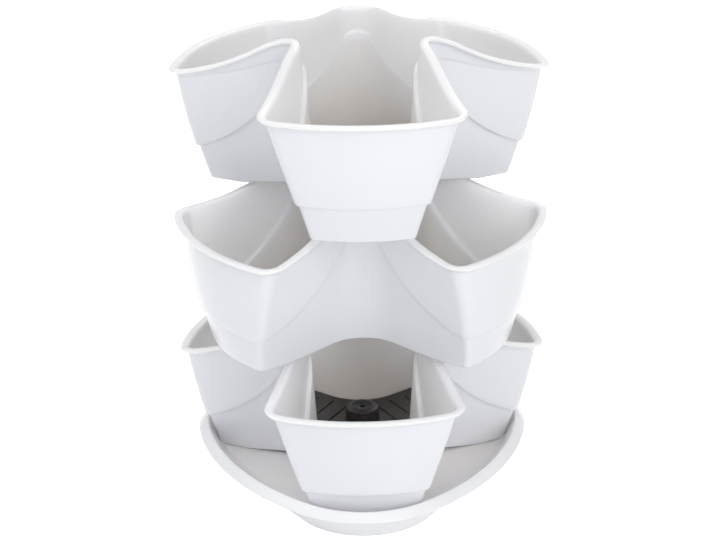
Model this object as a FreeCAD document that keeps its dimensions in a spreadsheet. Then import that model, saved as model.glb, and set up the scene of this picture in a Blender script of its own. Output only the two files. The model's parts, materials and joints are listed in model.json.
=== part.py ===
import FreeCAD, Part
import math
import os
import re

import Sketcher

# Three-tier stacking herb planter: three lobed pots with drain grids, each turned from the one below,
# on a rounded-triangle saucer. Millimetres, +Z up. The origin is on the ground under the middle of the
# saucer, and one lobe of the bottom pot points to -Y.

# Driving dimensions. A reach is measured out from the pot's or saucer's own axis.
SIZES = {
    # Pot, outside: lobe face, notch between lobes, rim
    "crown_reach": 152.9,
    "foot_reach": 134.0,
    "face_set_back": 15.0,
    "face_bow_radius": 420.0,
    "lobe_height": 107.0,
    "crest_rise": 34.0,
    "slope_start_reach": 30.0,
    "slope_turn_reach": 62.0,
    "slope_end_reach": 155.0,
    "notch_foot_reach": 55.0,
    "notch_foot_radius": 45.0,
    "notch_foot_angle": 56.4,
    "notch_crest_reach": 62.0,
    "notch_crest_radius": 18.0,
    "notch_crest_angle": 35.0,
    "corner_radius": 11.0,
    "lip_overhang": 6.0,
    "lip_height": 6.5,
    # Pot, step in the wall: low across the lobe faces, peaked under each notch
    "step_depth": 3.0,
    "step_drop": 74.5,
    "step_peak_drop": 22.0,
    "step_peak_reach": 28.0,
    "step_shoulder_drop": 9.5,
    "step_shoulder_reach": 42.0,
    "step_turn_reach": 128.0,
    "step_bow_radius": 156.0,
    # Pot, wall and floor
    "wall": 2.2,
    "floor": 2.5,
    "floor_rise": 12.0,
    "floor_flat_reach": 72.0,
    "floor_skirt_reach": 124.0,
    "arch_rise": 10.0,
    "arch_top_reach": 56.0,
    "arch_foot_reach": 104.0,
    "drain_radius": 4.0,
    "drain_reach": 27.0,
    "seat_gap": 0.3,
    # Drain grid
    "grid_play": 1.5,
    "grid_plate": 2.0,
    "grid_leg_height": 9.5,
    "grid_leg_radius": 3.5,
    "grid_leg_reach": 38.0,
    "slot_width": 3.0,
    "slot_length": 56.0,
    "slot_first_reach": 30.0,
    "slot_pitch": 16.0,
    "boss_height": 20.4,
    "boss_foot_radius": 15.5,
    "boss_top_radius": 13.5,
    "boss_wall": 2.0,
    "collar_height": 1.2,
    "collar_radius": 10.5,
    "collar_width": 2.5,
    "hang_hole_radius": 2.5,
    # Saucer
    "saucer_foot": 7.5,
    "saucer_floor": 2.5,
    "saucer_depth": 21.5,
    "saucer_wall": 2.5,
    "saucer_play": 6.5,
    "saucer_flare": 10.3,
    "saucer_taper": 3.0,
    "saucer_foot_corner": 68.0,
    "saucer_floor_corner": 74.0,
    "saucer_rim_corner": 79.0,
    "saucer_foot_side": 900.0,
    "saucer_floor_side": 500.0,
    "saucer_rim_side": 235.0,
    "saucer_lip_width": 6.0,
    "saucer_lip_drop": 6.7,
}

LOBES = 3
LOBE_TURN = 360.0 / LOBES
NOTCH_TURN = LOBE_TURN / 2
FRONT = -90.0
SLOTS_PER_LOBE = 6
LEGS = 6
DRAINS = 6

# Heights and spans worked out from the sizes, as expressions
CREST = "(lobe_height + crest_rise)"
BLOCK_TOP = f"({CREST} + lip_height)"
SPAN = "(2 * crown_reach)"
GRID_LEVEL = "(floor_rise + floor + grid_leg_height)"
GRID_TOP = f"({GRID_LEVEL} + grid_plate)"
PITCH = f"({CREST} - floor_rise + seat_gap)"
SAUCER_FLOOR_TOP = "(saucer_foot + saucer_floor)"
SAUCER_TOP = f"({SAUCER_FLOOR_TOP} + saucer_depth)"
SAUCER_FLOOR_REACH = "(foot_reach - step_depth + saucer_play)"

doc = FreeCAD.newDocument("herb_planter")
sheet = doc.addObject("Spreadsheet::Sheet", "sizes")


def fill_sheet():
    """Write each driving dimension to a cell with its name as the alias."""
    for row, (name, size) in enumerate(SIZES.items(), start=1):
        sheet.set(f"A{row}", name)
        sheet.set(f"B{row}", str(size))
        sheet.setAlias(f"B{row}", name)
    doc.recompute()


def sized(text):
    """Point the names of sizes in an expression at their cells."""
    return re.sub(r"[a-z_]+", lambda found: f"sizes.{found[0]}" if found[0] in SIZES else found[0], text)


def number(text):
    """Work an expression out now, for first positions and for values that can't be bound."""
    result = sheet.evalExpression(sized(text))
    return float(getattr(result, "Value", result))


def add(kind, name, **bound):
    """Add an object and bind its properties to expressions."""
    made = doc.addObject(kind, name)
    for prop, text in bound.items():
        made.setExpression(prop, sized(text))
    return made


def lifted(made, text):
    """Bind an object's height above the ground."""
    made.setExpression("Placement.Base.z", sized(text))
    return made


def copy_of(source, name, turn=0.0, lift="0"):
    """A placed copy that follows its source."""
    made = doc.addObject("Part::Compound", name)
    made.Links = [source]
    made.Placement.Rotation = FreeCAD.Rotation(FreeCAD.Vector(0, 0, 1), turn)
    return lifted(made, lift)


def combine(kind, name, parts):
    """A boolean of several objects: Part::MultiFuse or Part::MultiCommon."""
    made = doc.addObject(kind, name)
    made.Shapes = parts
    return made


def cut(name, base, tool):
    made = doc.addObject("Part::Cut", name)
    made.Base = base
    made.Tool = tool
    return made


def threefold(kind, name, source, first_turn=0.0):
    """Combine a source with its copies turned to the other lobes or notches."""
    turns = [first_turn + LOBE_TURN * lobe for lobe in range(LOBES)]
    copies = [copy_of(source, f"{name}_at_{round(turn)}", turn) for turn in turns]
    return combine(kind, name, copies)


def arc_between(start, end, radius, side):
    """The short arc from start to end; side is 1 with the centre left of the way, -1 right of it."""
    chord = end - start
    middle = start + chord * 0.5
    left = FreeCAD.Vector(-chord.y, chord.x, 0) / chord.Length
    centre = middle + left * (side * math.sqrt(radius**2 - chord.Length**2 / 4))
    angles = [math.atan2(point.y - centre.y, point.x - centre.x) for point in (start, end)]
    if side < 0:
        angles.reverse()
    return Part.ArcOfCircle(Part.Circle(centre, FreeCAD.Vector(0, 0, 1), radius), *angles)


def outline(name, corners, arcs, upright=False):
    """A closed sketch through corners given as expressions; arcs maps an edge to its radius and side."""
    sketch = doc.addObject("Sketcher::SketchObject", name)
    if upright:
        sketch.Placement.Rotation = FreeCAD.Rotation(FreeCAD.Vector(1, 0, 0), 90)
    points = [FreeCAD.Vector(number(across), number(along), 0) for across, along in corners]
    starts = []
    ends = []
    for edge, start in enumerate(points):
        end = points[(edge + 1) % len(points)]
        if edge in arcs:
            radius, side = arcs[edge]
            sketch.addGeometry(arc_between(start, end, number(radius), side))
            starts.append(1 if side > 0 else 2)
            ends.append(2 if side > 0 else 1)
        else:
            sketch.addGeometry(Part.LineSegment(start, end))
            starts.append(1)
            ends.append(2)
    for edge in range(len(points)):
        after = (edge + 1) % len(points)
        sketch.addConstraint(Sketcher.Constraint("Coincident", edge, ends[edge], after, starts[after]))
    for edge, (point, corner) in enumerate(zip(points, corners)):
        for kind, size, text in (("DistanceX", point.x, corner[0]), ("DistanceY", point.y, corner[1])):
            index = sketch.addConstraint(Sketcher.Constraint(kind, -1, 1, edge, starts[edge], size))
            sketch.setExpression(f"Constraints[{index}]", sized(text))
    for edge, (radius, side) in arcs.items():
        index = sketch.addConstraint(Sketcher.Constraint("Radius", edge, number(radius)))
        sketch.setExpression(f"Constraints[{index}]", sized(radius))
    return sketch


def loft(name, *sections):
    made = doc.addObject("Part::Loft", name)
    made.Sections = list(sections)
    made.Solid = True
    made.Ruled = True
    return made


def lobe_faces(name, inset):
    """The space inside the three bowed lobe faces, each turned about its own set-back axis."""
    behind = "(-2 * face_set_back)"
    sketch = outline(
        f"{name}_face_profile",
        [
            ("-face_set_back", "0"),
            ("-face_set_back", BLOCK_TOP),
            (f"{behind} - crown_reach + ({inset})", BLOCK_TOP),
            (f"{behind} - foot_reach + ({inset})", "0"),
        ],
        {2: (f"face_bow_radius - ({inset})", 1)},
        upright=True,
    )
    turned = doc.addObject("Part::Revolution", f"{name}_face")
    turned.Source = sketch
    turned.Axis = FreeCAD.Vector(0, 0, 1)
    turned.Angle = 360
    turned.Solid = True
    turned.setExpression("Base.x", sized("-face_set_back"))
    return threefold("Part::MultiCommon", f"{name}_faces", turned)


def notch_outline(name, height, reach, radius, angle, inset):
    """The round-nosed V of a notch at one height, open outwards."""
    nose = f"({radius} + ({inset}))"
    inner = f"({reach} + {radius} - {nose} * sin({angle} * 1 deg))"
    aside = f"({nose} * cos({angle} * 1 deg))"
    outer = f"({inner} + {SPAN} * cos({angle} * 1 deg))"
    wide = f"({aside} + {SPAN} * sin({angle} * 1 deg))"
    corners = [(inner, aside), (inner, f"-{aside}"), (outer, f"-{wide}"), (outer, wide)]
    return lifted(outline(name, corners, {0: (nose, 1)}), height)


def at_top(size):
    """Carry a notch size on from the crest to the top of the block, along its slope from the foot."""
    foot = f"notch_foot_{size}"
    return f"({foot} + (notch_crest_{size} - {foot}) * {BLOCK_TOP} / {CREST})"


def lobed_block(name, inset):
    """A solid three-lobed block with its sides moved in by inset and its upright corners rounded."""
    low = notch_outline(
        f"{name}_notch_foot", "0", "notch_foot_reach", "notch_foot_radius", "notch_foot_angle", inset
    )
    high = notch_outline(
        f"{name}_notch_top", BLOCK_TOP, at_top("reach"), at_top("radius"), at_top("angle"), inset
    )
    notch = loft(f"{name}_notch", low, high)
    notches = threefold("Part::MultiFuse", f"{name}_notches", notch, NOTCH_TURN)
    sharp = cut(f"{name}_sharp", lobe_faces(name, inset), notches)
    doc.recompute()
    radius = number(f"corner_radius - ({inset})")
    past_noses = number("notch_crest_reach + notch_foot_radius")
    upright = [
        (index, radius, radius)
        for index, edge in enumerate(sharp.Shape.Edges, start=1)
        if edge.BoundBox.ZLength > 0 and math.hypot(*edge.CenterOfMass[:2]) > past_noses
    ]
    rounded = doc.addObject("Part::Fillet", name)
    rounded.Base = sharp
    rounded.Edges = upright
    return rounded


def prism(name, corners, arcs):
    """An upright profile drawn along a lobe, carried across the whole pot and taken for all three lobes."""
    made = doc.addObject("Part::Extrusion", f"{name}_one")
    made.Base = outline(f"{name}_profile", corners, arcs, upright=True)
    made.DirMode = "Custom"
    made.Dir = FreeCAD.Vector(0, 1, 0)
    made.Symmetric = True
    made.Solid = True
    made.setExpression("LengthFwd", sized(f"2 * {SPAN}"))
    return threefold("Part::MultiCommon", name, made)


def below_rim():
    """Everything under the rim: low round the lobes, climbing in an S to the crest at each notch."""
    run = "(slope_end_reach - slope_start_reach)"
    upper_run = "(slope_turn_reach - slope_start_reach)"
    lower_run = "(slope_end_reach - slope_turn_reach)"
    bend = f"({run} * {run} + crest_rise * crest_rise) / (2 * crest_rise * {run})"
    corners = [
        (f"-{SPAN}", f"-{SPAN}"),
        (SPAN, f"-{SPAN}"),
        (SPAN, "lobe_height"),
        ("slope_end_reach", "lobe_height"),
        ("slope_turn_reach", f"{CREST} - crest_rise * {upper_run} / {run}"),
        ("slope_start_reach", CREST),
        (f"-{SPAN}", CREST),
    ]
    return prism("below_rim", corners, {3: (f"{lower_run} * {bend}", -1), 4: (f"{upper_run} * {bend}", 1)})


def below_step():
    """Everything under the step: low across the lobe faces, sweeping up to a round peak at each notch."""
    peak = f"({CREST} - step_peak_drop)"
    low = "(lobe_height - step_drop)"
    aside = "(step_shoulder_reach - step_peak_reach)"
    nose = f"({aside} * {aside} + step_shoulder_drop * step_shoulder_drop) / (2 * step_shoulder_drop)"
    corners = [
        (f"-{SPAN}", f"-{SPAN}"),
        (SPAN, f"-{SPAN}"),
        (SPAN, low),
        ("step_turn_reach", low),
        ("step_shoulder_reach", f"{peak} - step_shoulder_drop"),
        ("step_peak_reach", peak),
        (f"-{SPAN}", peak),
    ]
    return prism("below_step", corners, {3: ("step_bow_radius", -1), 4: (nose, 1)})


def stepped(name, wide, narrow, step):
    """A wide block above the step joined to a narrow one below it."""
    return combine("Part::MultiFuse", name, [cut(f"{name}_upper", wide, step), narrow])


def ring_of_cylinders(name, count, radius, reach, height):
    """Equal upright cylinders spaced round the axis, the first one towards a lobe."""
    pins = []
    for index in range(count):
        pin = add("Part::Cylinder", f"{name}_{index + 1}", Radius=radius, Height=height)
        turn = f"{index * 360 / count} * 1 deg"
        pin.setExpression("Placement.Base.x", sized(f"{reach} * cos({turn})"))
        pin.setExpression("Placement.Base.y", sized(f"{reach} * sin({turn})"))
        pins.append(pin)
    return combine("Part::MultiFuse", name, pins)


def floor_cone(name, level):
    """The raised middle of the floor: flat, then sloping down into the lobes."""
    cone = add(
        "Part::Cone", name, Radius1="floor_skirt_reach", Radius2="floor_flat_reach", Height="floor_rise"
    )
    return lifted(cone, level)


def make_pot():
    """A stepped shell with a lip; under it the wall's edge arches over each notch, round a recess."""
    rim = below_rim()
    step = below_step()
    lip_band = cut("lip_band", rim, copy_of(rim, "below_lip", lift="-lip_height"))
    lip = combine("Part::MultiCommon", "lip", [lobed_block("lip_block", "-lip_overhang"), lip_band])
    body = stepped(
        "pot_outside", lobed_block("outside_wide", "0"), lobed_block("outside_narrow", "step_depth"), step
    )
    trimmed = combine("Part::MultiCommon", "pot_trimmed", [body, rim])
    narrow = lobed_block("inside_narrow", "step_depth + wall")
    ledge = copy_of(step, "below_ledge", lift="wall")
    hollow = stepped("pot_inside", lobed_block("inside_wide", "wall"), narrow, ledge)
    floor_slab = add("Part::Cylinder", "floor_slab", Radius=SPAN, Height="floor")
    raised = combine("Part::MultiFuse", "floor_top", [floor_slab, floor_cone("floor_middle", "floor")])
    shell = cut(
        "pot_shell",
        combine("Part::MultiFuse", "pot_with_lip", [trimmed, lip]),
        cut("pot_cavity", hollow, raised),
    )
    hole = add("Part::Cylinder", "floor_hang_hole", Radius="hang_hole_radius", Height=CREST)
    drains = ring_of_cylinders("floor_drains", DRAINS, "drain_radius", "drain_reach", CREST)
    recess = combine("Part::MultiCommon", "floor_recess", [narrow, floor_cone("under_floor", "0")])
    arch = add(
        "Part::Cone", "arch", Radius1="arch_foot_reach", Radius2="arch_top_reach", Height="arch_rise"
    )
    return cut("pot", shell, combine("Part::MultiFuse", "floor_openings", [recess, arch, hole, drains]))


def make_grid():
    slab = lifted(add("Part::Cylinder", "grid_slab", Radius=SPAN, Height="grid_plate"), GRID_LEVEL)
    block = lobed_block("grid_block", "step_depth + wall + grid_play")
    plate = combine("Part::MultiCommon", "grid_plate_sheet", [block, slab])
    legs = ring_of_cylinders("grid_legs", LEGS, "grid_leg_radius", "grid_leg_reach", "grid_leg_height")
    lifted(legs, "floor_rise + floor")
    boss = add(
        "Part::Cone", "boss", Radius1="boss_foot_radius", Radius2="boss_top_radius", Height="boss_height"
    )
    lifted(boss, GRID_TOP)
    collar = add("Part::Cylinder", "collar", Radius="collar_radius", Height="collar_height")
    lifted(collar, f"{GRID_TOP} + boss_height")
    solid = combine("Part::MultiFuse", "grid_solid", [plate, legs, boss, collar])

    inside = add(
        "Part::Cone",
        "boss_inside",
        Radius1="boss_foot_radius - boss_wall",
        Radius2="boss_top_radius - boss_wall",
        Height="grid_plate + boss_height - boss_wall",
    )
    lifted(inside, GRID_LEVEL)
    dish = add(
        "Part::Cylinder", "collar_dish", Radius="collar_radius - collar_width", Height="collar_height"
    )
    lifted(dish, f"{GRID_TOP} + boss_height")
    hole = add("Part::Cylinder", "boss_hang_hole", Radius="hang_hole_radius", Height=CREST)
    slots = []
    for index in range(SLOTS_PER_LOBE):
        slot = add("Part::Box", f"slot_{index + 1}", Length="slot_width", Width="slot_length")
        slot.setExpression("Height", sized("3 * grid_plate"))
        near_side = f"slot_first_reach + {index} * slot_pitch - slot_width / 2"
        slot.setExpression("Placement.Base.x", sized(near_side))
        slot.setExpression("Placement.Base.y", sized("-slot_length / 2"))
        slots.append(lifted(slot, f"{GRID_LEVEL} - grid_plate"))
    row = combine("Part::MultiFuse", "slot_row", slots)
    slotted = threefold("Part::MultiFuse", "slots", row)
    return cut("grid", solid, combine("Part::MultiFuse", "grid_openings", [inside, dish, hole, slotted]))


def rounded_triangle(name, height, reach, corner, side):
    """Three corner arcs towards the lobes, joined by three flatter side arcs that meet them smoothly."""
    middle = f"({reach} - {corner})"
    gap = f"({side} - {corner})"
    behind = f"((sqrt(4 * {gap} * {gap} - 3 * {middle} * {middle}) - {middle}) / 2)"
    spread = f"asin({behind} * sin(60 deg) / {gap})"
    corners = []
    arcs = {}
    for lobe in range(LOBES):
        towards = f"{lobe * LOBE_TURN} deg"
        for sign, radius in (("-", corner), ("+", side)):
            arcs[len(corners)] = (radius, 1)
            turn = f"({towards} {sign} {spread})"
            corners.append(
                (
                    f"{middle} * cos({towards}) + {corner} * cos{turn}",
                    f"{middle} * sin({towards}) + {corner} * sin{turn}",
                )
            )
    return lifted(outline(name, corners, arcs), height)


def make_saucer():
    """A flared bowl on a hollow foot, with a lip that slopes outwards."""
    bowl_reach = f"({SAUCER_FLOOR_REACH} + saucer_flare)"
    base_reach = f"({SAUCER_FLOOR_REACH} - saucer_taper)"
    outside = loft(
        "saucer_outside",
        rounded_triangle("saucer_foot_outline", "0", base_reach, "saucer_foot_corner", "saucer_foot_side"),
        rounded_triangle(
            "saucer_rim_outline",
            SAUCER_TOP,
            f"({bowl_reach} + saucer_wall)",
            "(saucer_rim_corner + saucer_wall)",
            "(saucer_rim_side + saucer_wall)",
        ),
    )
    lip = loft(
        "saucer_lip",
        rounded_triangle(
            "saucer_lip_outline",
            f"{SAUCER_TOP} - saucer_lip_drop",
            f"({bowl_reach} + saucer_wall + saucer_lip_width)",
            "(saucer_rim_corner + saucer_wall + saucer_lip_width)",
            "(saucer_rim_side + saucer_wall + saucer_lip_width)",
        ),
        rounded_triangle(
            "saucer_lip_top_outline",
            SAUCER_TOP,
            f"({bowl_reach} + saucer_wall)",
            "(saucer_rim_corner + saucer_wall)",
            "(saucer_rim_side + saucer_wall)",
        ),
    )
    bowl = loft(
        "saucer_bowl",
        rounded_triangle(
            "saucer_floor_outline",
            SAUCER_FLOOR_TOP,
            SAUCER_FLOOR_REACH,
            "saucer_floor_corner",
            "saucer_floor_side",
        ),
        rounded_triangle(
            "saucer_bowl_outline", SAUCER_TOP, bowl_reach, "saucer_rim_corner", "saucer_rim_side"
        ),
    )
    underside = []
    for name, height in (("saucer_under_low", "0"), ("saucer_under_high", "saucer_foot")):
        underside.append(
            rounded_triangle(
                name,
                height,
                f"({base_reach} - saucer_wall)",
                "(saucer_foot_corner - saucer_wall)",
                "(saucer_foot_side - saucer_wall)",
            )
        )
    hollows = combine("Part::MultiFuse", "saucer_hollows", [bowl, loft("saucer_under", *underside)])
    return cut("saucer_form", combine("Part::MultiFuse", "saucer_solid", [outside, lip]), hollows)


def place(source, node, turn, lift):
    """A sub-part of the planter: a copy of a form, named and put in its place."""
    made = copy_of(source, node, turn, lift)
    made.Label = node
    return made


def check(nodes):
    """Stop if any object failed or any sub-part isn't one sound solid."""
    failed = [made.Name for made in doc.Objects if {"Invalid", "Error"} & set(made.State)]
    if failed:
        raise RuntimeError(f"these objects failed: {failed}")
    for node in nodes:
        if node.Shape.isNull() or not node.Shape.isValid() or len(node.Shape.Solids) != 1:
            raise RuntimeError(f"{node.Label} is not one sound solid")


fill_sheet()
pot = make_pot()
grid = make_grid()
nodes = [place(make_saucer(), "saucer", FRONT, "0")]
for tier, name in enumerate(("bottom", "middle", "top")):
    turn = FRONT + tier * NOTCH_TURN
    lift = f"{SAUCER_FLOOR_TOP} + {tier} * {PITCH}"
    nodes.append(place(pot, f"{name}_pot", turn, lift))
    nodes.append(place(grid, f"{name}_grid", turn, lift))
doc.recompute()
check(nodes)
os.makedirs("parts", exist_ok=True)
for node in nodes:
    node.Shape.exportStep(f"parts/{node.Label}.step")
    box = node.Shape.BoundBox
    print(f"{node.Label}: {node.Shape.Volume / 1000:.1f} cm3, z {box.ZMin:.2f} to {box.ZMax:.2f}")
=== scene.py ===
import json
import math

import bpy
import numpy as np
from mathutils import Matrix, Vector


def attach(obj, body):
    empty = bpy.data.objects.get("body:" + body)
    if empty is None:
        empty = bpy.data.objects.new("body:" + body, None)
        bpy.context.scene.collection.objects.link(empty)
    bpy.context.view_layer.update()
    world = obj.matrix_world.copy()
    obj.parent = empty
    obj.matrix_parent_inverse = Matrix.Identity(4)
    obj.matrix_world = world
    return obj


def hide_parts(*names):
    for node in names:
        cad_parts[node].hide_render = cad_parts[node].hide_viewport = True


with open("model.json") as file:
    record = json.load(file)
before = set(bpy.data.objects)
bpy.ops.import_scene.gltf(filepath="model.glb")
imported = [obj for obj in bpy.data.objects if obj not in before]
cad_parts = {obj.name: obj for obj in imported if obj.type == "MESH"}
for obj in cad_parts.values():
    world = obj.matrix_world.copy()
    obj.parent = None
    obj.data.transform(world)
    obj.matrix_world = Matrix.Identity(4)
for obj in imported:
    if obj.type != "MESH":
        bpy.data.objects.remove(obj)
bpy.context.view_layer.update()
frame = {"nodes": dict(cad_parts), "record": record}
bodyOf = {node: body for body, nodes in frame["record"]["behaviour"]["bodies"].items() for node in nodes}
mm = 0.001
print("frame loaded:", sorted(frame["nodes"]))


# small helpers for node materials
def newMaterial(name):
    material = bpy.data.materials.new(name)
    material.use_nodes = True
    tree = material.node_tree
    return material, tree, tree.nodes["Principled BSDF"]


def addNode(tree, kind, inputs=None, **settings):
    node = tree.nodes.new(kind)
    for key, value in settings.items():
        setattr(node, key, value)
    for key, value in (inputs or {}).items():
        if isinstance(value, bpy.types.NodeSocket):
            tree.links.new(value, node.inputs[key])
        else:
            node.inputs[key].default_value = value
    return node


def noiseAt(tree, vector, scale, detail=3.0, roughness=0.55):
    return addNode(tree, "ShaderNodeTexNoise",
                   {"Vector": vector, "Scale": scale, "Detail": detail, "Roughness": roughness})


def stretched(tree, vector, scale):
    return addNode(tree, "ShaderNodeMapping", {"Vector": vector, "Scale": scale}).outputs["Vector"]


def ramp(tree, value, stops):
    node = addNode(tree, "ShaderNodeValToRGB", {"Fac": value})
    elements = node.color_ramp.elements
    while len(elements) < len(stops):
        elements.new(0.5)
    for element, (position, colour) in zip(elements, stops):
        element.position = position
        element.color = (*colour, 1.0)
    return node.outputs["Color"]


def remap(tree, value, low, high, span=(0.0, 1.0)):
    limits = {"Value": value, "From Min": span[0], "From Max": span[1], "To Min": low, "To Max": high}
    return addNode(tree, "ShaderNodeMapRange", limits).outputs["Result"]


def bump(tree, height, strength, distance, onTop=None):
    inputs = {"Height": height, "Strength": strength, "Distance": distance}
    if onTop is not None:
        inputs["Normal"] = onTop
    return addNode(tree, "ShaderNodeBump", inputs).outputs["Normal"]


# white moulded plastic, with painted shade that makes it warmer and darker down inside the pots
whitePlastic = {
    # the first stop is the plastic's own colour; the later stops are painted shade, deepening towards the
    # floor inside
    "tintsAndShade": [(0.0, (0.875, 0.89, 0.925)), (0.06, (0.94, 0.935, 0.94)), (0.2, (0.93, 0.915, 0.91)),
              (0.45, (0.85, 0.80, 0.765)), (1.0, (0.70, 0.625, 0.565))],  # from outside to the floor inside
    "mottle": ((0.972, 0.972, 0.972), (1.0, 1.0, 1.0)),  # darkest and lightest of the cloudy variation
    "cloudScale": 9.0,
    "flowScale": (16.0, 16.0, 3.0),  # drawn out along the pull of the mould
    "spread": (0.12, 0.4),  # part of the mixed noise that the mottle covers
    "roughness": (0.14, 0.24),
    "ripple": (0.06, 0.002),  # slow waviness of a thin wall: strength and distance
    "grain": (0.05, 0.0002), "grainScale": 900.0,
    "ior": 1.49,
    "specular": (0.2, 0.6),  # satin outside, so the edges mirror little of the white floor
    "insideFrom": 0.08,  # inside share from which gloss and glow are those of the inside
    "glow": (0.1, 0.95), "glowDepth": 0.012,  # light that soaks through the thin walls to the inside
    "glowRadius": (1.0, 0.93, 0.86),
}


def makeWhitePlastic(name, settings):
    material, tree, shader = newMaterial(name)
    spot = addNode(tree, "ShaderNodeTexCoord").outputs["Object"]
    cloud = noiseAt(tree, spot, settings["cloudScale"]).outputs["Fac"]
    flow = noiseAt(tree, stretched(tree, spot, settings["flowScale"]), 1.0, detail=5.0).outputs["Fac"]
    mixed = addNode(tree, "ShaderNodeMath", {0: cloud, 1: flow}, operation="MULTIPLY").outputs["Value"]
    spread = remap(tree, mixed, 0.0, 1.0, settings["spread"])
    depth = addNode(tree, "ShaderNodeAttribute", attribute_name="inside").outputs["Fac"]
    # painted shade: the colour darkens and warms with the inside share
    tintAndShade = ramp(tree, depth, settings["tintsAndShade"])
    mottle = ramp(tree, spread, list(zip((0.0, 1.0), settings["mottle"])))
    colour = addNode(tree, "ShaderNodeMix", {"Factor": 1.0, 6: tintAndShade, 7: mottle},
                     data_type="RGBA", blend_type="MULTIPLY").outputs[2]
    tree.links.new(colour, shader.inputs["Base Color"])
    tree.links.new(remap(tree, flow, *settings["roughness"]), shader.inputs["Roughness"])
    grain = noiseAt(tree, spot, settings["grainScale"], detail=2.0).outputs["Fac"]
    ripple = bump(tree, flow, *settings["ripple"])
    tree.links.new(bump(tree, grain, *settings["grain"], ripple), shader.inputs["Normal"])
    shader.inputs["IOR"].default_value = settings["ior"]
    within = remap(tree, depth, 0.0, 1.0, (0.0, settings["insideFrom"]))
    tree.links.new(remap(tree, within, *settings["glow"]), shader.inputs["Subsurface Weight"])
    tree.links.new(remap(tree, within, *settings["specular"]), shader.inputs["Specular IOR Level"])
    shader.inputs["Subsurface Radius"].default_value = settings["glowRadius"]
    shader.inputs["Subsurface Scale"].default_value = settings["glowDepth"]
    return material


# near-black grained plastic of the drain grids
blackPlastic = {
    "tones": ((0.016, 0.014, 0.0135), (0.034, 0.031, 0.030)),
    "roughness": (0.38, 0.55),
    "cloudScale": 22.0, "dustScale": 260.0, "spread": (0.12, 0.42),
    "grain": (0.25, 0.0003), "grainScale": 1400.0,
}


def makeBlackPlastic(name, settings):
    material, tree, shader = newMaterial(name)
    spot = addNode(tree, "ShaderNodeTexCoord").outputs["Object"]
    cloud = noiseAt(tree, spot, settings["cloudScale"], detail=4.0).outputs["Fac"]
    dust = noiseAt(tree, spot, settings["dustScale"], detail=2.0).outputs["Fac"]
    both = addNode(tree, "ShaderNodeMath", {0: cloud, 1: dust}, operation="MULTIPLY").outputs["Value"]
    spread = remap(tree, both, 0.0, 1.0, settings["spread"])
    tree.links.new(ramp(tree, spread, list(zip((0.0, 1.0), settings["tones"]))), shader.inputs["Base Color"])
    tree.links.new(remap(tree, cloud, *settings["roughness"]), shader.inputs["Roughness"])
    grain = noiseAt(tree, spot, settings["grainScale"], detail=2.0).outputs["Fac"]
    tree.links.new(bump(tree, grain, *settings["grain"]), shader.inputs["Normal"])
    return material


potPlastic = makeWhitePlastic("potPlastic", whitePlastic)
saucerWhite = {
    **whitePlastic, "cloudScale": 7.0, "flowScale": (4.0, 4.0, 14.0), "glow": (0.1, 0.1),
    # painted light: the saucer's outside is drawn a shade paler than the same plastic on the pots
    "tintsAndShade": [(0.0, (0.93, 0.935, 0.955)), *whitePlastic["tintsAndShade"][1:]],  # a shade paler outside than the pots
}
saucerPlastic = makeWhitePlastic("saucerPlastic", saucerWhite)
gridPlastic = makeBlackPlastic("gridPlastic", blackPlastic)
print("materials made")


# mesh from rings of points: the last ring closes on the first, or both ends get a cap
def meshFromRings(name, rings, closed, insideShare=None):
    rings = np.array(rings)
    rows, columns = rings.shape[:2]
    index = np.arange(rows * columns).reshape(rows, columns)
    nextRow = np.roll(index, -1, axis=0)
    caps = [] if closed else [index[0, ::-1].tolist(), index[-1].tolist()]
    if not closed:
        index, nextRow = index[:-1], nextRow[:-1]
    faces = np.stack([index, np.roll(index, -1, axis=1), np.roll(nextRow, -1, axis=1), nextRow], axis=-1)
    mesh = bpy.data.meshes.new(name)
    mesh.from_pydata((rings.reshape(-1, 3) * mm).tolist(), [], faces.reshape(-1, 4).tolist() + caps)
    # the inside share of each ring, which the white plastic turns into painted shade
    if insideShare is not None:
        shade = mesh.attributes.new("inside", "FLOAT", "POINT")
        shade.data.foreach_set("value", np.repeat(np.array(insideShare, np.float32), columns))
    mesh.shade_smooth()
    mesh.update()
    return mesh


def addPiece(name, mesh, material):
    piece = bpy.data.objects.new(name, mesh)
    bpy.context.scene.collection.objects.link(piece)
    mesh.materials.clear()
    mesh.materials.append(material)
    return piece


def cutAway(piece, cutters, sharpFrom=60):
    for cutter in cutters:
        modifier = piece.modifiers.new("cut", "BOOLEAN")
        modifier.object = cutter
        modifier.operation = "DIFFERENCE"
        modifier.solver = "EXACT"
    graph = bpy.context.evaluated_depsgraph_get()
    mesh = bpy.data.meshes.new_from_object(piece.evaluated_get(graph))
    mesh.set_sharp_from_angle(angle=math.radians(sharpFrom))  # crisp edges where the cuts are
    piece.modifiers.clear()
    piece.data = mesh
    for cutter in cutters:
        bpy.data.objects.remove(cutter)
    return piece


def prismOf(name, outline, low, high):
    count = len(outline)
    points = [(x * mm, y * mm, z * mm) for z in (low, high) for x, y in outline]
    sides = [(k, (k + 1) % count, count + (k + 1) % count, count + k) for k in range(count)]
    mesh = bpy.data.meshes.new(name)
    mesh.from_pydata(points, [], sides + [tuple(range(count))[::-1], tuple(range(count, 2 * count))])
    piece = bpy.data.objects.new(name, mesh)
    bpy.context.scene.collection.objects.link(piece)
    return piece


def circle(x, y, radius, count=32):
    turns = [2 * math.pi * k / count for k in range(count)]
    return [(x + radius * math.cos(turn), y + radius * math.sin(turn)) for turn in turns]


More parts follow.
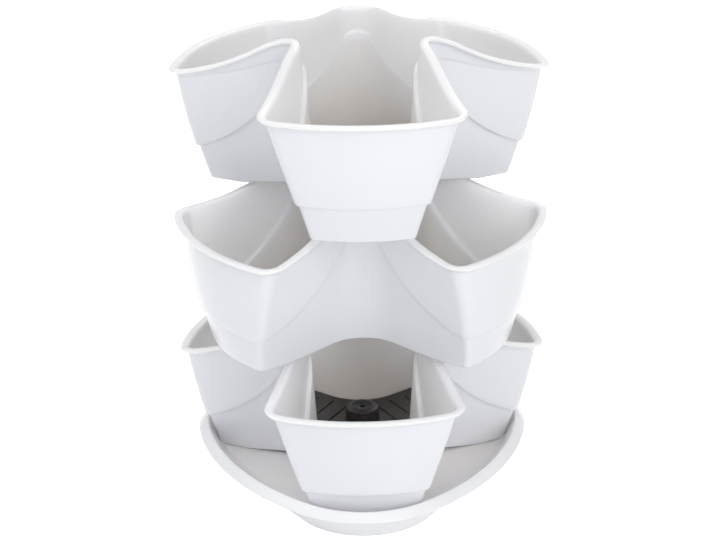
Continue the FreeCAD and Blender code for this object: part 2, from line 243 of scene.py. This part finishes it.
# pot sizes in mm: those of the solids, a few of them adjusted to the photograph
pot = {
    "crownReach": 153.6, "footReach": 135.6, "bowRadius": 500.0, "blockTop": 147.5,
    "setBack": (-6.0, 35.0), "cornerRadius": (7.5, 12.5),  # at the foot and at the top of the block
    "notchFoot": (55.0, 45.0, 56.4), "notchTop": (62.32, 16.755, 34.01),  # reach, nose radius, half angle
    "span": 305.8,
    "lobeHeight": 107.0, "crest": 141.0, "slopeStart": 30.0, "slopeTurn": 62.0, "slopeEnd": 155.0,
    "rimCrown": 0.8, "crownWidth": 70.0,  # the rim bows up a little across each face
    "stepDepth": 3.0, "stepLow": 32.5, "stepPeak": 119.0, "stepTurn": 128.0, "stepBow": 156.0,
    "stepShoulder": (42.0, 109.5), "stepPeakReach": 28.0,
    "wall": 2.2, "floor": 2.5, "floorRise": 12.0, "floorFlat": 72.0, "floorSkirt": 124.0,
    "archRise": 8.0, "archTop": 56.0, "archFoot": 104.0,
    "holeRadius": 2.5, "drainRadius": 4.0, "drainReach": 27.0, "drains": 6, "drainCut": (5.0, 20.0),
    "lipHeight": 6.5, "lipCrestHeight": 20.5, "beadDepth": 4.3, "lipOverStep": 1.0,
    "footRound": 1.4, "footBevel": (0.1, 0.2), "floorOverArch": 0.5, "floorRound": 3.0, "leastCorner": 1.0,
    "seatGap": 0.3,  # between a pot and the crests it rests on
    "columns": (14, 10, 18, 16),  # points along half a face, a corner, a side and half a nose
    "lowerRows": 12, "upperRows": 14, "insideRows": 14,
    "midHeight": 60.0, "nearRim": 115.0,  # heights to start from when the step and the rim are searched for
}
# how far inside each part of a pot counts for its painted shade: 0 is outside, 1 is on the floor
insideShadeOf = {
    # the ledge is kept as light as the lip, a painted highlight along the ledge's edge
    "outside": 0.0, "lip": 0.06, "ledge": 0.06, "floor": 1.0,
    "upperWall": (0.06, 0.24), "lowerWall": (0.3, 0.9),  # from the top of the wall to its foot
}
floorShares = (0.0, 0.2, 0.45, 0.6, 0.7, 0.8, 0.9, 1.0)  # from the middle hole to the wall
bendShares = (0.0, 0.3, 0.6, 0.85, 1.0)  # round a quarter turn
# rolled lip from the wall outside, over the top, to the wall inside: inset and drop below the rim
lipBead = [(0.0, -6.5), (-0.4, -6.45), (-0.6, -6.0), (-1.0, -5.2), (-1.6, -4.6), (-2.8, -4.35), (-4.4, -4.1),
           (-5.5, -3.4), (-6.0, -2.3), (-5.85, -1.2), (-5.1, -0.4), (-3.9, 0.0), (-1.8, 0.0), (0.1, -0.2),
           (1.3, -0.8), (1.95, -1.8), (2.2, -3.4)]
# the same lip on a notch's crest, where a smooth flare carries the bead
lipFlare = [(0.0, -20.5), (-0.5, -20.4), (-0.75, -19.6), (-1.3, -13.0), (-2.2, -7.5), (-2.9, -5.0),
            (-4.3, -4.4), (-5.5, -3.5), (-6.0, -2.3), (-5.85, -1.2), (-5.1, -0.4), (-3.9, 0.0), (-1.8, 0.0),
            (0.1, -0.2), (1.3, -0.8), (1.95, -1.8), (2.2, -3.4)]


def faceReach(z):
    chord = np.array([pot["crownReach"] - pot["footReach"], pot["blockTop"]])
    length = np.hypot(*chord)
    back = math.sqrt(pot["bowRadius"] ** 2 - length ** 2 / 4)
    centreX = (pot["crownReach"] + pot["footReach"]) / 2 - back * chord[1] / length
    centreZ = pot["blockTop"] / 2 + back * chord[0] / length
    return centreX + np.sqrt(pot["bowRadius"] ** 2 - (z - centreZ) ** 2)


def notchPoint(sizes, inset, share):
    reach, radius, angle = sizes
    nose = radius + inset
    turn = share * math.radians(90 - angle)
    return np.stack([reach + radius - nose * np.cos(turn), nose * np.sin(turn)], -1)


kinds = np.repeat(np.arange(4), [pot["columns"][0]] + [count - 1 for count in pot["columns"][1:]])
shares = np.concatenate([np.linspace(0, 1, pot["columns"][0])]
                        + [np.linspace(0, 1, count)[1:] for count in pot["columns"][1:]])
notchAxis = np.array([0.5, math.sqrt(3) / 2])
notchAside = np.array([-math.sqrt(3) / 2, 0.5])


# half a lobe's outline at heights z and insets, from the middle of the face to the bottom of the notch
def halfLobe(z, inset):
    z = np.broadcast_to(np.asarray(z, float), kinds.shape)
    inset = np.broadcast_to(np.asarray(inset, float), kinds.shape)
    rise = (z / pot["blockTop"])[:, None]

    def between(share):
        low = notchPoint(pot["notchFoot"], inset, share)
        high = notchPoint(pot["notchTop"], inset, share)
        return low + (high - low) * rise

    def onLobe(across):
        return across[:, :1] * notchAxis - across[:, 1:] * notchAside

    ends = [math.radians(pot[key][2]) for key in ("notchFoot", "notchTop")]
    away = [np.array([math.cos(end), math.sin(end)]) * pot["span"] for end in ends]
    tangent = onLobe(between(np.ones_like(z)))
    along = onLobe(away[0] + (away[1] - away[0]) * rise)
    along /= np.linalg.norm(along, axis=1)[:, None]
    inward = np.stack([along[:, 1], -along[:, 0]], -1)
    setBack, rounding = (low + (high - low) * rise[:, 0]
                         for low, high in (pot["setBack"], pot["cornerRadius"]))
    radius = faceReach(z) + setBack - inset
    corner = np.maximum(rounding - inset, pot["leastCorner"])
    centre = np.stack([-setBack, np.zeros_like(z)], -1)
    start = tangent + corner[:, None] * inward - centre
    ahead = np.sum(start * along, axis=1)
    run = -ahead + np.sqrt(ahead ** 2 - np.sum(start * start, axis=1) + (radius - corner) ** 2)
    pivot = centre + start + run[:, None] * along
    faceTurn = np.arctan2(pivot[:, 1], pivot[:, 0] + setBack)
    sideTurn = np.arctan2(-inward[:, 1], -inward[:, 0])

    def spoke(turn):
        return np.stack([np.cos(turn), np.sin(turn)], -1)

    face = centre + radius[:, None] * spoke(faceTurn * shares)
    bend = pivot + corner[:, None] * spoke(faceTurn + (sideTurn - faceTurn) * shares)
    edge = pivot - corner[:, None] * inward
    side = edge + (tangent - edge) * shares[:, None]
    nose = onLobe(between(1 - shares))
    return np.choose(kinds[:, None], [face, bend, side, nose])


def rimHeight(reach):
    start, turn, end = pot["slopeStart"], pot["slopeTurn"], pot["slopeEnd"]
    steep = math.sin(2 * math.atan((pot["crest"] - pot["lobeHeight"]) / (end - start)))
    upperBend, lowerBend = (turn - start) / steep, (end - turn) / steep
    upper = pot["crest"] - upperBend + np.sqrt(np.maximum(upperBend ** 2 - (reach - start) ** 2, 0))
    lower = pot["lobeHeight"] + lowerBend - np.sqrt(np.maximum(lowerBend ** 2 - (end - reach) ** 2, 0))
    slope = np.where(reach < turn, upper, lower)
    return np.where(reach <= start, pot["crest"], np.where(reach >= end, pot["lobeHeight"], slope))


def stepHeight(reach):
    turn = np.array([pot["stepTurn"], pot["stepLow"]])
    shoulder = np.array(pot["stepShoulder"])
    chord = shoulder - turn
    length = np.hypot(*chord)
    off = math.sqrt(pot["stepBow"] ** 2 - length ** 2 / 4)
    centre = (turn + shoulder) / 2 + np.array([chord[1], -chord[0]]) / length * off
    bow = centre[1] - np.sqrt(np.maximum(pot["stepBow"] ** 2 - (reach - centre[0]) ** 2, 0))
    aside, drop = shoulder[0] - pot["stepPeakReach"], pot["stepPeak"] - shoulder[1]
    nose = (aside ** 2 + drop ** 2) / (2 * drop)
    peak = pot["stepPeak"] - nose + np.sqrt(np.maximum(nose ** 2 - (reach - pot["stepPeakReach"]) ** 2, 0))
    curve = np.where(reach >= turn[0], pot["stepLow"], np.where(reach >= shoulder[0], bow, peak))
    return np.where(reach <= pot["stepPeakReach"], pot["stepPeak"], curve)


# height at which the wall at this inset meets a curve drawn over the lobe
def meetHeight(curve, inset, start, rounds=40):
    z = np.full(kinds.shape, start)
    for _ in range(rounds):
        z = 0.5 * z + 0.5 * curve(halfLobe(z, inset)[:, 0])
    return z


# the floor rises to its middle
def underHeight(points):
    reach = np.hypot(points[:, 0], points[:, 1])
    slope = (pot["floorSkirt"] - reach) / (pot["floorSkirt"] - pot["floorFlat"])
    return pot["floorRise"] * np.clip(slope, 0, 1)


# 0 beyond the foot of the arch, 1 within its top
def archShare(points):
    reach = np.hypot(points[:, 0], points[:, 1])
    return np.clip((pot["archFoot"] - reach) / (pot["archFoot"] - pot["archTop"]), 0, 1)


# the wall's edge arches up to each notch
def archHeight(points):
    return pot["archRise"] * archShare(points)


# three lobes, each a half lobe and its mirror image
def fullRing(half, z):
    z = np.broadcast_to(np.asarray(z, float), kinds.shape)
    other = np.column_stack([half[:0:-1, 0], -half[:0:-1, 1], z[:0:-1]])
    lobe = np.vstack([other, np.column_stack([half, z])[:-1]])
    ring = []
    for turn in (0, 120, 240):
        spin = np.array(Matrix.Rotation(math.radians(turn), 3, "Z"))
        ring.append(lobe @ spin.T)
    return np.vstack(ring)


# a circle with its points in line with those of the lobes
def discRing(radius):
    turn = np.arctan2(*halfLobe(pot["midHeight"], 0.0).T[::-1])
    return radius * np.stack([np.cos(turn), np.sin(turn)], -1)


def towardsHole(half, share, radius):
    return discRing(radius) + (half - discRing(radius)) * share


def wallShares(count):
    return np.linspace(0, 1, count)[1:-1]


def blend(limits, share):
    return limits[0] + (limits[1] - limits[0]) * share


def potRings():
    rings, inside = [], []

    def put(half, z, share=insideShadeOf["outside"]):
        rings.append(fullRing(half, z))
        inside.append(share)

    step, wall = pot["stepDepth"], pot["wall"]
    inner = step + wall
    # both profiles are inset and rise, the step from below and the ledge from above
    stepProfile = [(step, -0.6), (step - 0.1, -0.15), (step - 0.5, 0.0), (0.6, 0.1), (0.15, 0.3), (0.0, 0.9)]
    ledge = [(0.0, 1.7), (0.15, 1.2), (0.5, 0.9), (step - 0.5, -0.4), (step - 0.15, -0.7), (step, -1.3)]
    footZ = archHeight(halfLobe(0.0, step))
    footRound = pot["footRound"]
    recess = halfLobe(pot["floorRise"] / 2, inner)
    for share in floorShares:  # under the floor, from the hole outwards
        half = towardsHole(recess, share, pot["holeRadius"])
        put(half, np.maximum(underHeight(half), archHeight(half) + pot["floorOverArch"]))
    bevelIn, bevelUp = pot["footBevel"]
    put(halfLobe(footZ + bevelUp, inner - bevelIn), footZ + bevelUp)
    for turn in bendShares:  # rounded foot
        angle = turn * math.pi / 2
        inset = step + footRound * (1 - math.sin(angle))
        z = footZ + footRound * (1 - math.cos(angle))
        put(halfLobe(z, inset), z)
    stepZ = meetHeight(stepHeight, step, pot["midHeight"])
    footTop, stepFoot, stepTop = footZ + footRound, stepZ + stepProfile[0][1], stepZ + stepProfile[-1][1]
    for share in wallShares(pot["lowerRows"]):  # lower wall
        z = footTop + (stepFoot - footTop) * share
        put(halfLobe(z, step), z)
    for inset, rise in stepProfile:  # step in the wall
        put(halfLobe(stepZ + rise, inset), stepZ + rise)
    rimZ = meetHeight(rimHeight, 0.0, pot["nearRim"])
    climb = (rimZ - pot["lobeHeight"]) / (pot["crest"] - pot["lobeHeight"])
    across = halfLobe(rimZ, 0.0)[:, 1] / pot["crownWidth"]
    rimZ = rimZ + pot["rimCrown"] * np.clip(1 - across ** 2, 0, 1)
    lipZ = rimZ - pot["lipHeight"] - (pot["lipCrestHeight"] - pot["lipHeight"]) * climb
    lipZ = np.maximum(lipZ, stepTop + pot["lipOverStep"])
    for share in wallShares(pot["upperRows"]):  # upper wall
        z = stepTop + (lipZ - stepTop) * share
        put(halfLobe(z, 0.0), z)
    for (beadInset, beadZ), (flareInset, flareZ) in zip(lipBead, lipFlare):  # rolled lip
        inset = beadInset + (flareInset - beadInset) * climb
        drop = beadZ + (flareZ - beadZ) * climb
        z = np.maximum(rimZ + drop, lipZ)
        put(halfLobe(z, inset), z, insideShadeOf["lip" if drop.max() > -pot["beadDepth"] else "outside"])
    ledgeZ = meetHeight(lambda reach: stepHeight(reach) + wall, wall, pot["midHeight"])
    innerTop, ledgeTop, ledgeFoot = rimZ + lipBead[-1][1], ledgeZ + ledge[0][1], ledgeZ + ledge[-1][1]
    # painted shade deepens down the inside walls towards the floor
    for share in wallShares(pot["insideRows"]):  # upper wall inside
        z = innerTop + (ledgeTop - innerTop) * share
        put(halfLobe(z, wall), z, blend(insideShadeOf["upperWall"], share ** 2))
    # painted highlight: the ledge keeps the lightest inside share
    for inset, rise in ledge:  # ledge inside the step
        put(halfLobe(ledgeZ + rise, wall + inset), ledgeZ + rise, insideShadeOf["ledge"])
    floorZ = underHeight(halfLobe(pot["floor"], inner)) + pot["floor"]
    floorRound = pot["floorRound"]
    bottom = floorZ + floorRound
    for share in wallShares(pot["insideRows"]):  # lower wall inside
        z = ledgeFoot + (bottom - ledgeFoot) * share
        put(halfLobe(z, inner), z, blend(insideShadeOf["lowerWall"], share))
    for turn in bendShares[:-1]:  # round into the floor
        angle = turn * math.pi / 2
        z = bottom - floorRound * math.sin(angle)
        put(halfLobe(z, inner + floorRound * (1 - math.cos(angle))), z, insideShadeOf["floor"])
    floorEdge = halfLobe(floorZ, inner + floorRound)
    for share in floorShares[::-1]:  # floor, back to the hole
        half = towardsHole(floorEdge, share, pot["holeRadius"])
        put(half, underHeight(half) + pot["floor"], insideShadeOf["floor"])
    return rings, inside


tiers = {"bottom": 0, "middle": 1, "top": 2}
tierPitch = pot["crest"] - pot["floorRise"] + pot["seatGap"]
frontTurn, tierTurn = -90, 60  # degrees: a lobe to the front, then each tier turned on the one below
saucerFloor = 10.0


def tierMatrix(tier):
    turn = Matrix.Rotation(math.radians(frontTurn + tierTurn * tier), 4, "Z")
    return Matrix.Translation((0, 0, (saucerFloor + tier * tierPitch) * mm)) @ turn


def ringSpots(count, reach):
    turns = [2 * math.pi * k / count for k in range(count)]
    return [(reach * math.cos(turn), reach * math.sin(turn)) for turn in turns]


def settle(piece, node):
    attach(piece, bodyOf[node])
    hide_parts(node)


shellRings, shellInside = potRings()
master = addPiece("potShell", meshFromRings("potShell", shellRings, True, shellInside), potPlastic)
drainCutters = [prismOf(f"drain{k}", circle(x, y, pot["drainRadius"]), *pot["drainCut"])
                for k, (x, y) in enumerate(ringSpots(pot["drains"], pot["drainReach"]))]
cutAway(master, drainCutters)
for name, tier in tiers.items():
    shell = master.data.copy()
    shell.transform(tierMatrix(tier))
    piece = addPiece(f"{name}Pot", shell, potPlastic)
    settle(piece, f"{name}_pot")
bpy.data.objects.remove(master)
print("pots made")


# drain grid in mm: plate with slots and a tapered boss in one form, and legs under it
grid = {
    "level": 27.6, "plate": 2.0, "edgeInset": 6.7, "edgeRound": 0.5,
    "bossFoot": 16.0, "bossTop": 14.4, "bossHeight": 17.8, "bossWall": 2.0, "bossFillet": 1.2,
    "collarRadius": 10.5, "collarWidth": 2.5, "collarHeight": 1.2, "holeRadius": 2.5,
    "slots": 6, "slotWidth": 1.6, "slotLength": 56.0, "slotFirst": 30.0, "slotPitch": 16.0,
    "slotCut": (-4.0, 6.0), "slotEndPoints": 9,
    "legs": 6, "legReach": 38.0, "legRadius": 3.5, "legBottom": 14.5, "legIntoPlate": 0.2, "legPoints": 24,
}
plateShares = (0.0, 0.15, 0.35, 0.55, 0.75, 0.9, 1.0)  # from the boss to the edge


def gridRings():
    low, high = grid["level"], grid["level"] + grid["plate"]
    foot, fillet, crown = grid["bossFoot"], grid["bossFillet"], grid["bossTop"]
    top, hole, collar = high + grid["bossHeight"], grid["holeRadius"], grid["collarRadius"]
    inner, innerTop, roof = (size - grid["bossWall"] for size in (foot, crown, top))
    edge, edgeRound = grid["edgeInset"], grid["edgeRound"]
    dish, rim = collar - grid["collarWidth"], top + grid["collarHeight"]
    rings = []

    def discs(profile):  # radius and height
        for radius, z in profile:
            rings.append(fullRing(discRing(radius), z))

    def plate(shares, z):
        for share in shares:
            rings.append(fullRing(towardsHole(halfLobe(z, edge + edgeRound), share, foot + fillet), z))

    # inside of the boss, down and out
    discs([(hole, roof), (innerTop - 0.8, roof), (innerTop, roof - 0.8)])
    discs([(inner, low + 0.4), (inner + 0.5, low)])
    plate(plateShares, low)
    for z in (low + edgeRound, high - edgeRound):
        rings.append(fullRing(halfLobe(z, edge), z))
    plate(plateShares[::-1], high)
    # outside of the boss, up to its shoulder
    discs([(foot + 0.4, high + 0.3), (foot, high + fillet)])
    discs([(foot + (crown - foot) * share, high + grid["bossHeight"] * share) for share in (0.3, 0.6, 0.9)])
    discs([(crown + 0.02, top - 0.9), (crown - 0.3, top - 0.25), (crown - 1.0, top)])
    # collar, its dish and the hole
    discs([(collar + 0.2, top), (collar, top + 0.3), (collar, rim - 0.35), (collar - 0.4, rim)])
    discs([(dish + 0.4, rim), (dish, rim - 0.35), (dish - 0.2, top + 0.1), (dish - 0.7, top)])
    discs([(hole + 0.4, top), (hole, top - 0.4)])
    return rings


def slotOutline(reach, turn):
    half, ends = grid["slotWidth"] / 2, grid["slotLength"] / 2 - grid["slotWidth"] / 2
    count = grid["slotEndPoints"]
    arc = [math.pi * k / (count - 1) for k in range(count)]
    outline = [(half * math.cos(angle), ends + half * math.sin(angle)) for angle in arc]
    outline += [(-half * math.cos(angle), -ends - half * math.sin(angle)) for angle in arc]
    across, along = math.cos(turn), math.sin(turn)
    return [(across * (reach + x) - along * y, along * (reach + x) + across * y) for x, y in outline]


def legRings(x, y):
    full, low, high = grid["legRadius"], grid["legBottom"], grid["level"] + grid["legIntoPlate"]
    profile = [(0.05, low), (full - 0.5, low), (full - 0.1, low + 0.15), (full, low + 0.6),
               (full, high - 1.2), (full + 0.3, high - 0.5), (full + 1.0, high)]  # radius and height
    turns = np.linspace(0, 2 * math.pi, grid["legPoints"], endpoint=False)
    return [np.column_stack([x + radius * np.cos(turns), y + radius * np.sin(turns), np.full(len(turns), z)])
            for radius, z in profile]


gridMesh = meshFromRings("gridForm", gridRings(), True)
gridMaster = addPiece("gridForm", gridMesh, gridPlastic)
slotLow, slotHigh = (grid["level"] + rise for rise in grid["slotCut"])
slotCutters = []
for lobe in range(3):
    for k in range(grid["slots"]):
        outline = slotOutline(grid["slotFirst"] + k * grid["slotPitch"], math.radians(120 * lobe))
        slotCutters.append(prismOf(f"slot{lobe}{k}", outline, slotLow, slotHigh))
cutAway(gridMaster, slotCutters)
for name, tier in tiers.items():
    form = gridMaster.data.copy()
    form.transform(tierMatrix(tier))
    piece = addPiece(f"{name}Grid", form, gridPlastic)
    settle(piece, f"{name}_grid")
    for k, (x, y) in enumerate(ringSpots(grid["legs"], grid["legReach"])):
        leg = meshFromRings(f"{name}Leg{k}", legRings(x, y), False)
        leg.transform(tierMatrix(tier))
        legPiece = addPiece(f"{name}GridLeg{k + 1}", leg, gridPlastic)
        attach(legPiece, bodyOf[f"{name}_grid"])
bpy.data.objects.remove(gridMaster)
print("grids made")


# saucer in mm: each outline is a rounded triangle's corner reach, corner radius and side radius
saucer = {
    "footOutline": (135.6, 64.0, 900.0),
    "rimOutline": (152.3, 82.5, 237.5), "lipOutline": (158.3, 88.5, 243.5),
    "floorOutline": (138.0, 71.5, 480.0), "bowlOutline": (149.8, 80.0, 235.0),
    "top": 31.5, "floorTop": saucerFloor, "floorDome": 5.0, "underside": 7.5, "wall": 2.5,
    "floorRound": 5.5, "floorOverlap": 0.3,
    "outerWall": (3, 24.5, 9),  # lowest and highest row, and how many
    "innerWallTop": (30.2, 29), "innerWallRows": 6,
    # the inside share paints shade on the saucer's inner wall and floor
    "insideShare": 0.3, "cornerPoints": 40, "sidePoints": 40,
}
underShares = (0.02, 0.3, 0.6, 0.85)  # from the middle outwards
roundShares = (0.15, 0.35, 0.55, 0.75, 0.9)  # of a quarter turn
dishShares = (1.0, 0.9, 0.84, 0.78, 0.72, 0.66, 0.6, 0.52, 0.44, 0.36, 0.2, 0.02)  # from the wall inwards
# profiles of the saucer: growth of the outline and height
footEdge = [(-0.9, 0.0), (-0.25, 0.25), (0.0, 0.9)]
underLip = [(0.15, 25.8), (0.8, 26.7), (1.8, 26.6)]
overLip = [(-1.6, 24.5), (-0.9, 23.7), (-0.3, 23.75), (0.0, 24.4), (-0.25, 25.1), (-1.2, 26.2), (-3.0, 28.2),
           (-5.0, 30.1), (-6.2, 31.05)]
bowlEdge = [(1.4, 31.4, 0.0), (0.7, 31.5, 0.1), (0.1, 31.2, 0.2)]  # and the inside share


def roundedTriangle(reach, corner, side):
    middle, gap = reach - corner, side - corner
    behind = (math.sqrt(4 * gap ** 2 - 3 * middle ** 2) - middle) / 2
    spread = math.asin(behind * math.sin(math.radians(60)) / gap)
    points = []
    for lobe in range(3):
        towards = math.radians(120 * lobe)
        centre = middle * np.array([math.cos(towards), math.sin(towards)])
        for turn in np.linspace(-spread, spread, saucer["cornerPoints"], endpoint=False):
            points.append(centre + corner * np.array([math.cos(towards + turn), math.sin(towards + turn)]))
        opposite = towards + math.radians(60)
        pivot = -behind * np.array([math.cos(opposite), math.sin(opposite)])
        sweep = math.radians(60) - spread
        for turn in np.linspace(-sweep, sweep, saucer["sidePoints"], endpoint=False):
            points.append(pivot + side * np.array([math.cos(opposite + turn), math.sin(opposite + turn)]))
    return np.array(points)


def grown(outline, by):
    return roundedTriangle(outline[0] + by, outline[1] + by, outline[2] + by)


def saucerRings():
    rings, inside = [], []

    def put(points, z, share=0.0):
        rings.append(np.column_stack([points, np.broadcast_to(z, len(points))]))
        inside.append(share)

    foot, top, wall = saucer["footOutline"], saucer["top"], saucer["wall"]

    def wallAt(z, by=0.0):
        low, high = grown(foot, by), grown(saucer["rimOutline"], by)
        return low + (high - low) * z / top

    def bowlAt(z, by=0.0):
        low, high = grown(saucer["floorOutline"], by), grown(saucer["bowlOutline"], by)
        return low + (high - low) * (z - saucer["floorTop"]) / (top - saucer["floorTop"])

    under, inShare, floorRound = saucer["underside"], saucer["insideShare"], saucer["floorRound"]
    footInside = [(-2.0, under), (-0.6, under - 0.6), (0.0, under - 2.0), (0.0, 0.8), (0.3, 0.2), (0.8, 0.0)]
    for share in underShares:
        put(grown(foot, footInside[0][0] - wall) * share, under)
    for by, z in footInside:
        put(grown(foot, by - wall), z)
    for by, z in footEdge:
        put(wallAt(z, by), z)
    for z in np.linspace(*saucer["outerWall"]):
        put(wallAt(z), z)
    for by, z in underLip:
        put(wallAt(z, by), z)
    for by, z in overLip:
        put(grown(saucer["lipOutline"], by), z)
    for by, z, share in bowlEdge:
        put(grown(saucer["bowlOutline"], by), z, share)
    edgeZ, wallTop = saucer["innerWallTop"]
    bend = saucer["floorTop"] + floorRound
    for z in (edgeZ, *np.linspace(wallTop, bend, saucer["innerWallRows"])):  # down the inside
        put(bowlAt(z), z, inShare)
    for turn in roundShares:  # round into the floor
        angle = turn * math.pi / 2
        z = bend - floorRound * math.sin(angle)
        put(bowlAt(z, -floorRound * (1 - math.cos(angle))), z, inShare)
    edge = grown(saucer["floorOutline"], saucer["floorOverlap"] - floorRound)
    for share in dishShares:  # floor, rising gently under the pot
        put(edge * share, saucer["floorTop"] + saucer["floorDome"] * archShare(edge * share), inShare)
    return rings, inside


dishRings, dishInside = saucerRings()
saucerMesh = meshFromRings("saucerForm", dishRings, False, dishInside)
saucerMesh.transform(Matrix.Rotation(math.radians(frontTurn), 4, "Z"))
saucerPiece = addPiece("saucerBody", saucerMesh, saucerPlastic)
settle(saucerPiece, "saucer")
print("saucer made")


# plain pale floor and soft studio light
studio = {
    "floorColour": (0.97, 0.97, 0.97), "floorRoughness": 0.9, "floorHalf": 8.0,
    "floorGlow": 0.72,  # white added where the floor is seen, so that it keeps only a pale shadow
    "brightSide": (0.1, -0.9, 0.42),
    "room": [(0.0, (0.21, 0.208, 0.215)), (0.45, (0.30, 0.30, 0.305)), (1.0, (0.37, 0.37, 0.38))],
    "lamps": {
        "key": {"place": (1.5, -2.6, 1.35), "size": 2.2, "power": 25.0, "colour": (1.0, 0.99, 0.98)},
        "front": {"place": (-0.6, -3.0, 0.6), "size": 2.2, "power": 11.5, "colour": (0.98, 0.99, 1.0)},
        "left": {"place": (-2.6, -1.2, 1.2), "size": 2.0, "power": 7.0, "colour": (0.97, 0.98, 1.0)},
        "right": {"place": (2.6, -1.0, 1.2), "size": 2.0, "power": 6.0, "colour": (1.0, 0.99, 0.98)},
        "topFront": {"place": (0.0, -1.6, 2.4), "size": 2.5, "power": 15.0, "colour": (1.0, 1.0, 1.0)},
        "topLeft": {"place": (-1.7, 0.2, 2.1), "size": 2.0, "power": 14.5, "colour": (1.0, 1.0, 1.0)},
        "topBack": {"place": (0.6, 1.7, 2.1), "size": 2.0, "power": 15.0, "colour": (1.0, 1.0, 1.0)},
    },
    "target": (0.0, 0.0, 0.2),
}


# 1 for the rays that see the white background: camera, mirrored and seen through
def seenWhite(tree):
    rays = addNode(tree, "ShaderNodeLightPath").outputs
    seen = rays["Is Camera Ray"]
    for other in ("Is Glossy Ray", "Is Transmission Ray"):
        either = addNode(tree, "ShaderNodeMath", {0: seen, 1: rays[other]}, operation="MAXIMUM")
        seen = either.outputs["Value"]
    return seen


def addLamp(name, place, size, power, colour):
    light = bpy.data.lights.new(name, "AREA")
    light.shape = "DISK"
    light.size = size
    light.energy = power
    light.color = colour
    lamp = bpy.data.objects.new(name, light)
    bpy.context.scene.collection.objects.link(lamp)
    lamp.location = place
    lamp.rotation_euler = (Vector(studio["target"]) - Vector(place)).to_track_quat("-Z", "Y").to_euler()


for lampName, lampSettings in studio["lamps"].items():
    addLamp(f"{lampName}Light", **lampSettings)

floorMesh = bpy.data.meshes.new("floor")
half = studio["floorHalf"]
corners = [(-half, -half, 0), (half, -half, 0), (half, half, 0), (-half, half, 0)]
floorMesh.from_pydata(corners, [], [(0, 1, 2, 3)])
floorMaterial, floorTree, floorShader = newMaterial("paleFloor")
floorShader.inputs["Base Color"].default_value = (*studio["floorColour"], 1.0)
floorShader.inputs["Roughness"].default_value = studio["floorRoughness"]
floorShader.inputs["Specular IOR Level"].default_value = 0.0
glow = addNode(floorTree, "ShaderNodeEmission", {"Strength": studio["floorGlow"]})
both = addNode(floorTree, "ShaderNodeAddShader",
               {0: floorShader.outputs["BSDF"], 1: glow.outputs["Emission"]})
pick = addNode(floorTree, "ShaderNodeMixShader",
               {"Fac": seenWhite(floorTree), 1: floorShader.outputs["BSDF"], 2: both.outputs["Shader"]})
floorTree.links.new(pick.outputs["Shader"], floorTree.nodes["Material Output"].inputs["Surface"])
floorPiece = addPiece("floor", floorMesh, floorMaterial)

world = bpy.data.worlds.new("studioWorld")
bpy.context.scene.world = world
world.use_nodes = True
sky = world.node_tree
background = sky.nodes["Background"]
way = addNode(sky, "ShaderNodeTexCoord").outputs["Generated"]
facing = addNode(sky, "ShaderNodeVectorMath", {0: way, 1: studio["brightSide"]},
                 operation="DOT_PRODUCT").outputs["Value"]
across = remap(sky, facing, 0.0, 1.0, (-1.0, 1.0))
sky.links.new(ramp(sky, across, studio["room"]), background.inputs["Color"])
whiteSky = addNode(sky, "ShaderNodeBackground", {"Color": (1.0, 1.0, 1.0, 1.0), "Strength": 1.0})
skyPick = addNode(sky, "ShaderNodeMixShader", {
    "Fac": seenWhite(sky), 1: background.outputs["Background"], 2: whiteSky.outputs["Background"],
})
sky.links.new(skyPick.outputs["Shader"], sky.nodes["World Output"].inputs["Surface"])
print("studio made")


# long lens from a little above, slightly to the left and rolled half a degree
view = {
    "lens": 116.23, "sensor": 36.0, "distance": 2.0241, "elevation": 22.70, "azimuth": -0.97,
    "target": (0.0, 0.0, 0.1895), "roll": -0.55, "shiftX": -0.00435,
}
lensData = bpy.data.cameras.new("camera")
lensData.lens = view["lens"]
lensData.sensor_width = view["sensor"]
lensData.shift_x = view["shiftX"]
camera = bpy.data.objects.new("camera", lensData)
bpy.context.scene.collection.objects.link(camera)
up, side = math.radians(view["elevation"]), math.radians(view["azimuth"])
back = Vector((math.sin(side) * math.cos(up), -math.cos(side) * math.cos(up), math.sin(up)))
camera.location = Vector(view["target"]) + back * view["distance"]
aim = (-back).to_track_quat("-Z", "Y").to_matrix() @ Matrix.Rotation(math.radians(view["roll"]), 3, "Z")
camera.rotation_euler = aim.to_euler()
bpy.context.scene.camera = camera
bpy.context.scene.view_settings.view_transform = "Standard"
print("camera set")
